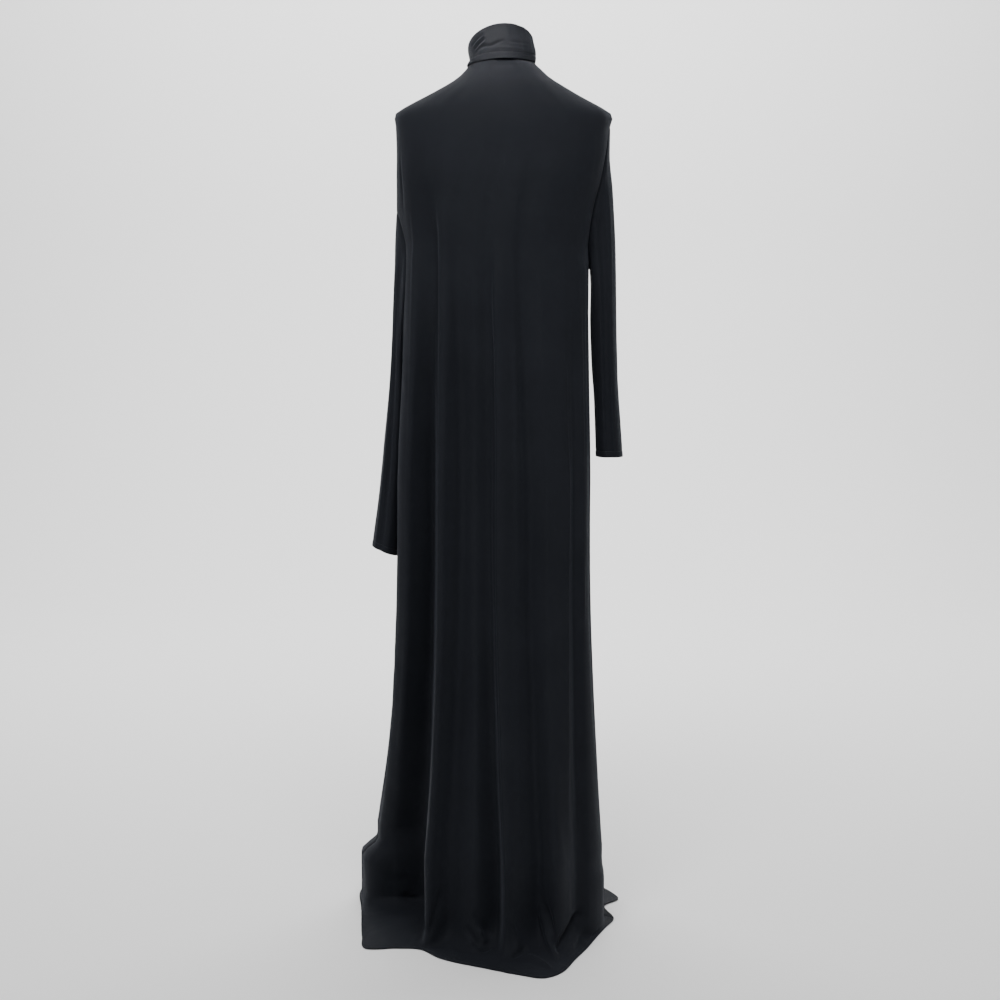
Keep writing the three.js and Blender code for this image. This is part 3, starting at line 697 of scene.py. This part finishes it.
def unevenness(across, down, bumps, seed):
    """The slight unevenness of hanging jersey, drawn out along its fall."""
    return sum(
        height * noise(across / width, down / length, seed + k)
        for k, (height, width, length) in enumerate(bumps)
    )


def rounded(grid, levels, passes):
    """Rounds a panel over the shoulders, away from its side edges."""
    across = lengths(grid, 1)
    from_edge = np.minimum(across, across[:, -1:] - across)
    share = smooth((ROUND_TOP - levels) / ROUND_FADE) * smooth((levels - ROUND_FOOT) / ROUND_FADE)
    share *= smooth(from_edge / ROUND_SIDE_FADE)
    for _ in range(passes):
        middle = (grid[:-2] + 2 * grid[1:-1] + grid[2:]) / 4
        grid[1:-1] += share[1:-1, :, None] * (middle - grid[1:-1])
    return grid


def panel(side, first, last):
    """A panel's mesh, and the path of the stitches along its hem."""
    grid, us, levels = body_grid(first, last)
    grid = rounded(grid, levels, ROUNDINGS[side])
    normals = grid_normals(grid)
    across, down = lengths(grid, 1), lengths(grid, 0)
    from_edge = np.minimum(across, across[:, -1:] - across)
    grown = smooth((UNEVEN_START - levels) / UNEVEN_GROWS)
    lift = crease_lift(us, levels, across)
    lift += grown * unevenness(across, levels, BODY_UNEVENNESS, first)
    places = np.stack([grid[..., 0], levels], axis=-1)
    for wrinkled, height, width, points in WRINKLES:
        if wrinkled == side:
            lift += height * wrinkle_lift(places, points, width)
    lift *= smooth(from_edge / SIDE_FIRM) * smooth(down / NECK_FIRM)
    to_hem = down[-1:] - down
    lift += hem_lift(to_hem, across)
    grid = grid + normals * (lift + seam_dip(from_edge))[..., None]
    sideways = np.gradient(grid, axis=1)
    sideways /= np.maximum(np.linalg.norm(sideways, axis=2), 1e-9)[..., None]
    grid[:, 0] += sideways[:, 0] * HALF_SEAM
    grid[:, -1] -= sideways[:, -1] * HALF_SEAM
    grid[..., 2] = np.maximum(grid[..., 2], FLOOR + CLOTH + FLOOR_GAP)
    return sheet_mesh(side + "_cloth", grid), stitch_path(grid, to_hem)


def stitch_path(grid, to_edge, wrapped=False):
    """Points and outward normals along a hem's stitches, on the cloth's outside."""
    normals = grid_normals(grid, wrapped)
    path, facing = [], []
    for c in range(grid.shape[1]):
        nearing = to_edge[::-1, c]
        path.append([np.interp(HEM, nearing, grid[::-1, c, k]) for k in range(3)])
        facing.append([np.interp(HEM, nearing, normals[::-1, c, k]) for k in range(3)])
    if wrapped:
        path.append(path[0])
        facing.append(facing[0])
    return np.array(path), np.array(facing)


def unit_rows(vectors):
    return vectors / np.linalg.norm(vectors, axis=1)[:, None]


def stitch_faces(base):
    """The faces of one stitch, whose points start at a number."""
    sides = STITCH_SIDES
    faces = []
    for ring in range(len(STITCH_RINGS) - 1):
        start = base + ring * sides
        for side in range(sides):
            a, b = start + side, start + (side + 1) % sides
            faces.append((a, a + sides, b + sides, b))
    last = base + (len(STITCH_RINGS) - 1) * sides
    faces.append(tuple(range(base, base + sides)))
    faces.append(tuple(range(last + sides - 1, last - 1, -1)))
    return faces


def stitch_row(name, path, facing):
    """Stitches laid end to end along a path, joined as one mesh."""
    run = np.concatenate(([0], np.cumsum(np.linalg.norm(np.diff(path, axis=0), axis=1))))
    count = int(run[-1] / STITCH["pitch"])
    middles = (np.arange(count) + 0.5) * run[-1] / count
    half = STITCH["length"] / 2

    def along(source, at):
        return np.stack([np.interp(at, run, source[:, k]) for k in range(3)], axis=1)

    centre = along(path, middles)
    forward = unit_rows(along(path, middles + half) - along(path, middles - half))
    up = unit_rows(along(facing, middles))
    sideways = np.cross(forward, up)
    points, faces = [], []
    for k in range(count):
        faces += stitch_faces(len(points))
        for place, girth in STITCH_RINGS:
            radius = STITCH["radius"] * girth
            for turn in np.arange(STITCH_SIDES) * TAU / STITCH_SIDES:
                height = radius * math.sin(turn) + STITCH["raised"] * girth
                offset = up[k] * height + sideways[k] * radius * math.cos(turn)
                points.append(centre[k] + forward[k] * place * half + offset)
    return make_mesh(name, points, faces, np.zeros((len(points), 2)), 0)


def armhole_points(side, angles):
    """Points round an armhole's edge on the body."""
    seam, top, bottom, _ = ARMHOLES[side]
    points = []
    for angle in angles:
        z = (top + bottom) / 2 + (top - bottom) / 2 * math.cos(angle)
        facing = 1 if (math.sin(angle) >= 0) == (side == "right") else -1
        u = seam + facing * armhole_edges(side, facing, z)
        points.append(hanging_row(np.array([u]), z)[0])
    return np.array(points)


def sleeve_grid(side, angles, shares):
    """A sleeve's points, from its armhole's edge to its cuff."""
    spec = SLEEVES[side]
    rim = armhole_points(side, angles)
    inner = (1 - np.cos(angles)) / 2
    outer_rows, inner_rows = spec["outer"], spec["inner"]
    start = np.stack([
        mix(outer_rows[0][1], inner_rows[0][1], inner),
        -spec["girth"][0][1] * np.sin(angles),
        mix(outer_rows[0][0], inner_rows[0][0], inner),
    ], axis=1)
    at, width, depth = spec["crease"]
    grid = []
    for share in shares:
        outer_z = mix(outer_rows[0][0], outer_rows[-1][0], share)
        inner_z = mix(inner_rows[0][0], inner_rows[-1][0], share)
        outwards, inwards = through(outer_rows, outer_z), through(inner_rows, inner_z)
        creased = depth * smooth(share / MAIN_CREASE_FADE) * bell(angles - at, width)
        girth = through(spec["girth"], share) - creased
        clear = spec["side"] * CLEAR_OF_BODY * smooth(share / CLEAR_BY) * np.sqrt(inner)
        hung = np.stack([
            mix(outwards, inwards, inner) + clear,
            spec["middle"] * smooth(share / SEAT) - girth * np.sin(angles),
            mix(outer_z, inner_z, inner),
        ], axis=1)
        grid.append(hung + (rim - start) * (1 - smooth(share / SEAT)))
    return np.array(grid)


def sleeve(side):
    """A sleeve's mesh, and the path of the stitches round its cuff."""
    angles = np.linspace(0, TAU, SLEEVE_COLUMNS, endpoint=False)
    upper = (np.arange(SLEEVE_ROWS) / SLEEVE_ROWS) ** ROW_CROWDING * CUFF_SHARE
    shares = np.concatenate((upper, np.linspace(CUFF_SHARE, 1, CUFF_ROWS)))
    grid = sleeve_grid(side, angles, shares)
    facing = SLEEVES[side]["side"]
    normals = grid_normals(grid, wrapped=True) * facing
    down = lengths(grid, 0)
    to_cuff = down[-1:] - down
    cuff_girth = SLEEVES[side]["girth"][-1][1]
    round_cuff = angles[None, :] * cuff_girth
    lift = seam_dip(down) + hem_lift(to_cuff, round_cuff)
    lift += smooth(down / SLEEVE_EASE) * unevenness(round_cuff, down, SLEEVE_UNEVENNESS, SLEEVE_SEED)
    share = shares[:, None]
    for at_top, at_cuff, start, end, height, ahead, behind in SLEEVE_CREASES[side]:
        away = (angles[None, :] - mix(at_top, at_cuff, share)) * cuff_girth
        grown = smooth((share - start) / SLEEVE_CREASE_FADE)
        grown *= smooth((end - share) / SLEEVE_CREASE_FADE)
        lift += height * grown * bell(away, np.where(away > 0, ahead, behind))
    grid = grid + normals * lift[..., None]
    path, outwards = stitch_path(grid, to_cuff, wrapped=True)
    tucked = grid[0] - [facing * TUCK, 0, 0]
    grid = np.concatenate((tucked[None], grid))
    mesh = sheet_mesh(side + "_sleeve_cloth", grid, wrapped=True, flip=facing < 0)
    return mesh, (path, outwards * facing)


def collar_grid():
    """The collar's cloth, up inside from the neck seam, over the fold and down to its edge."""
    turns = np.linspace(0, TAU, COLLAR_COLUMNS, endpoint=False)
    across, back = np.cos(turns), np.sin(turns)
    forward = np.maximum(0, -back) ** 2
    leftward = np.maximum(0, -across) ** 2
    fold = (OUTER_RADIUS - STAND_RADIUS) / 2
    seam = NECK_SEAM + ABOVE_SEAM - EDGE_DROP * forward
    crest = TOP_MIDDLE + TOP_BACK * back + TOP_RIGHT * across - fold
    hem = EDGE_SIDE - EDGE_DROP * forward - EDGE_SAG * leftward
    shares = np.concatenate((
        np.linspace(0, FOLD_START, STAND_ROWS)[:-1],
        np.linspace(FOLD_START, FOLD_END, FOLD_ROWS)[:-1],
        np.linspace(FOLD_END, 1, LEAF_ROWS),
    ))
    grid = []
    for share in shares:
        if share < FOLD_START:
            radius = np.full_like(turns, STAND_RADIUS)
            height = mix(seam, crest, share / FOLD_START)
        elif share < FOLD_END:
            bend = (share - FOLD_START) / (FOLD_END - FOLD_START) * math.pi
            radius = np.full_like(turns, STAND_RADIUS + fold - fold * math.cos(bend))
            height = crest + fold * math.sin(bend)
        else:
            fallen = (share - FOLD_END) / (1 - FOLD_END)
            flared = smooth((fallen - FLARE_START) / (1 - FLARE_START))
            gaping = smooth((fallen - BACK_GAP_START) / (1 - BACK_GAP_START))
            radius = OUTER_RADIUS + BULGE * math.sin(math.pi * fallen) + EDGE_FLARE * leftward * flared
            radius += BACK_GAP * bell(turns - math.pi / 2, BACK_GAP_WIDTH) * gaping
            height = mix(crest, hem, fallen)
        leaned = LEAN * smooth((height - seam) / (crest - seam + 1))
        grid.append(np.stack([leaned + radius * across, -radius * back, height], axis=1))
    return np.array(grid), turns, shares


def collar():
    """The collar's mesh, and the path of the stitches round its edge."""
    grid, turns, shares = collar_grid()
    normals = grid_normals(grid, wrapped=True)
    down = lengths(grid, 0)
    to_edge = down[-1:] - down
    turned_down = smooth((shares - FOLD_END + TURN_DOWN / 2) / TURN_DOWN)[:, None]
    seen = grid[..., [0, 2]]
    lift = hem_lift(to_edge, turns[None, :] * OUTER_RADIUS)
    bumps = noise(turns[None, :] * COLLAR_BUMPS, grid[..., 2] / COLLAR_BUMP_HEIGHT, COLLAR_SEED)
    lift += COLLAR_UNEVENNESS * bumps * np.cos(turns / 2)[None, :] ** 2
    for side, sign in (("back", -1), ("front", 1)):
        here = smooth(sign * grid[..., 1] / COLLAR_SIDE_FADE)
        for height, width, points in COLLAR_WRINKLES[side]:
            lift += turned_down * here * height * wrinkle_lift(seen, points, width)
    grid = grid + normals * lift[..., None]
    mesh = sheet_mesh("collar_cloth", grid, wrapped=True)
    return mesh, stitch_path(grid, to_edge, wrapped=True)


# Materials

# The knit, in metres: the width of one column of stitches and the height of one row
WALE = 0.0007
COURSE = 0.0006
COLUMN_RELIEF = 1.4  # a column's relief against a row's
FIBRE_RELIEF = 0.8
FIBRES = {"Scale": 1400.0, "Detail": 3.0}
KNIT_BUMP = {"Strength": 0.35, "Distance": 0.0003}

# Its colour goes from dark to light by the knit and by broad patches
BROAD_PATCHES = {"Scale": 9.0, "Detail": 4.0}
KNIT_TONE, PATCH_TONE = 0.22, 0.55
RAMP = [(0.2, (0.0070, 0.0080, 0.0108, 1)), (0.75, (0.0122, 0.0136, 0.0176, 1))]
SURFACE = {
    "Roughness": 0.72,
    "Specular IOR Level": 0.08,
    "Sheen Weight": 0.05,
    "Sheen Roughness": 0.45,
    "Sheen Tint": (0.75, 0.82, 1.0, 1),
}


def set_inputs(node, values):
    for name, value in values.items():
        node.inputs[name].default_value = value


def noise_texture(tree, values, vector):
    node = tree.nodes.new("ShaderNodeTexNoise")
    set_inputs(node, values)
    tree.links.new(vector, node.inputs["Vector"])
    return node.outputs[0]


def maths(tree, operation, first, second):
    node = tree.nodes.new("ShaderNodeMath")
    node.operation = operation
    for socket, value in zip(node.inputs, (first, second)):
        if isinstance(value, (int, float)):
            socket.default_value = value
        else:
            tree.links.new(value, socket)
    return node.outputs[0]


def jersey():
    """A matt dark knit: columns of slanted loops, fine fibres and a faint change of tone."""
    material = bpy.data.materials.new("jersey")
    material.use_nodes = True
    tree = material.node_tree
    tree.nodes.clear()
    shader = tree.nodes.new("ShaderNodeBsdfPrincipled")
    output = tree.nodes.new("ShaderNodeOutputMaterial")
    tree.links.new(shader.outputs[0], output.inputs["Surface"])
    uv = tree.nodes.new("ShaderNodeUVMap")
    uv.uv_map = "cloth"
    split = tree.nodes.new("ShaderNodeSeparateXYZ")
    tree.links.new(uv.outputs[0], split.inputs[0])
    wale = maths(tree, "DIVIDE", split.outputs[0], WALE)
    across = maths(tree, "PINGPONG", wale, 0.5)
    course = maths(tree, "ADD", maths(tree, "DIVIDE", split.outputs[1], COURSE), across)
    loops = maths(tree, "PINGPONG", course, 0.5)
    knit = maths(tree, "ADD", maths(tree, "MULTIPLY", across, COLUMN_RELIEF), loops)
    fibres = noise_texture(tree, FIBRES, uv.outputs[0])
    height = maths(tree, "ADD", knit, maths(tree, "MULTIPLY", fibres, FIBRE_RELIEF))
    bump = tree.nodes.new("ShaderNodeBump")
    set_inputs(bump, KNIT_BUMP)
    tree.links.new(height, bump.inputs["Height"])
    tree.links.new(bump.outputs[0], shader.inputs["Normal"])
    coords = tree.nodes.new("ShaderNodeTexCoord")
    patches = noise_texture(tree, BROAD_PATCHES, coords.outputs["Object"])
    knit_tone = maths(tree, "MULTIPLY", knit, KNIT_TONE)
    tone = maths(tree, "ADD", knit_tone, maths(tree, "MULTIPLY", patches, PATCH_TONE))
    ramp = tree.nodes.new("ShaderNodeValToRGB")
    for stop, (position, colour) in zip(ramp.color_ramp.elements, RAMP):
        stop.position = position
        stop.color = colour
    tree.links.new(tone, ramp.inputs[0])
    tree.links.new(ramp.outputs[0], shader.inputs["Base Color"])
    set_inputs(shader, SURFACE)
    return material


def plain(name, colour, roughness, specular=0.5):
    material = bpy.data.materials.new(name)
    material.use_nodes = True
    values = {
        "Base Color": (*colour, 1),
        "Roughness": roughness,
        "Specular IOR Level": specular,
    }
    set_inputs(material.node_tree.nodes["Principled BSDF"], values)
    return material


CLOTH_MATERIAL = jersey()
THREAD_MATERIAL = plain("thread", (0.011, 0.012, 0.016), 0.5, specular=0.35)


def dressed(made, node):
    """Puts a cloth piece in place of its solid, with the stitches of its hem."""
    piece, hem = made
    piece.data.materials.append(CLOTH_MATERIAL)
    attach(piece, "root")
    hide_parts(node)
    stitches = stitch_row(node + "_stitches", *hem)
    stitches.data.materials.append(THREAD_MATERIAL)
    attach(stitches, "root")


dressed(panel("back", 0, LEFT_SEAM), "back_panel")
dressed(panel("front", LEFT_SEAM, COUNT), "front_panel")
dressed(sleeve("right"), "right_sleeve")
dressed(sleeve("left"), "left_sleeve")
dressed(collar(), "collar")


# Studio: a pale floor that turns up into a wall, soft light, and the camera, in metres
STUDIO_NEAR, STUDIO_BEND, STUDIO_TOP = -6.0, 3.0, 6.0
STUDIO_RADIUS = 1.5
STUDIO_TURNS = np.linspace(0.1, math.pi / 2, 14)
STUDIO_HALF_WIDTH = 8
STUDIO_GREY = (0.86, 0.86, 0.86)
STUDIO_BELOW = 0.0002  # the floor lies this much under the cloth's lowest point
WORLD_LIGHT = 0.27
CAMERA_PLACE = (-0.0050, -3.05, -0.40)
CAMERA_PITCH = math.radians(6.4)
FOCAL_OVER_WIDTH = 1.744
SENSOR = 36
CLIP_NEAR, CLIP_FAR = 0.05, 50


def studio():
    profile = [(STUDIO_NEAR, 0.0), (STUDIO_BEND, 0.0)]
    for turn in STUDIO_TURNS:
        y = STUDIO_BEND + STUDIO_RADIUS * math.sin(turn)
        profile.append((y, STUDIO_RADIUS - STUDIO_RADIUS * math.cos(turn)))
    profile.append((STUDIO_BEND + STUDIO_RADIUS, STUDIO_TOP))
    floor_z = FLOOR * MM - STUDIO_BELOW
    verts, faces = [], []
    for y, z in profile:
        verts += [(-STUDIO_HALF_WIDTH, y, floor_z + z), (STUDIO_HALF_WIDTH, y, floor_z + z)]
    for k in range(len(profile) - 1):
        faces.append((2 * k, 2 * k + 1, 2 * k + 3, 2 * k + 2))
    mesh = bpy.data.meshes.new("studio")
    mesh.from_pydata(verts, [], faces)
    mesh.shade_smooth()
    mesh.materials.append(plain("studio", STUDIO_GREY, 0.9))
    obj = link("studio", mesh)


def area_light(name, place, target, size, power, colour=(1, 1, 1), spread=180):
    data = bpy.data.lights.new(name, "AREA")
    data.spread = math.radians(spread)
    data.shape = "RECTANGLE"
    data.size, data.size_y = size
    data.energy = power
    data.color = colour
    obj = link(name, data)
    obj.location = place
    obj.rotation_euler = (Vector(target) - Vector(place)).to_track_quat("-Z", "Y").to_euler()
    obj.visible_camera = False


def camera():
    data = bpy.data.cameras.new("camera")
    data.sensor_width = SENSOR
    data.lens = SENSOR * FOCAL_OVER_WIDTH
    data.clip_start, data.clip_end = CLIP_NEAR, CLIP_FAR
    obj = link("camera", data)
    obj.location = CAMERA_PLACE
    obj.rotation_euler = (math.pi / 2 - CAMERA_PITCH, 0, 0)
    bpy.context.scene.camera = obj


studio()
area_light("key", place=(-0.15, -1.5, 1.2), target=(0, 0, -0.2), size=(1.6, 1.2), power=68)
area_light("left", place=(-3.2, -1.6, 0.0), target=(0, 0, -0.6), size=(1.6, 2.4), power=10)
area_light(
    "neck", place=(-0.26, -0.66, 0.34), target=(0, 0, 0.03), size=(0.12, 0.12), power=0.26,
    colour=(1.0, 0.92, 0.8), spread=18,
)
area_light("wall", place=(0, 1.6, 2.4), target=(0, 4.5, -0.2), size=(4.0, 1.0), power=330)
world = bpy.data.worlds.new("world")
bpy.context.scene.world = world
world.use_nodes = True
background = world.node_tree.nodes["Background"]
background.inputs["Color"].default_value = (1, 1, 1, 1)
background.inputs["Strength"].default_value = WORLD_LIGHT
camera()
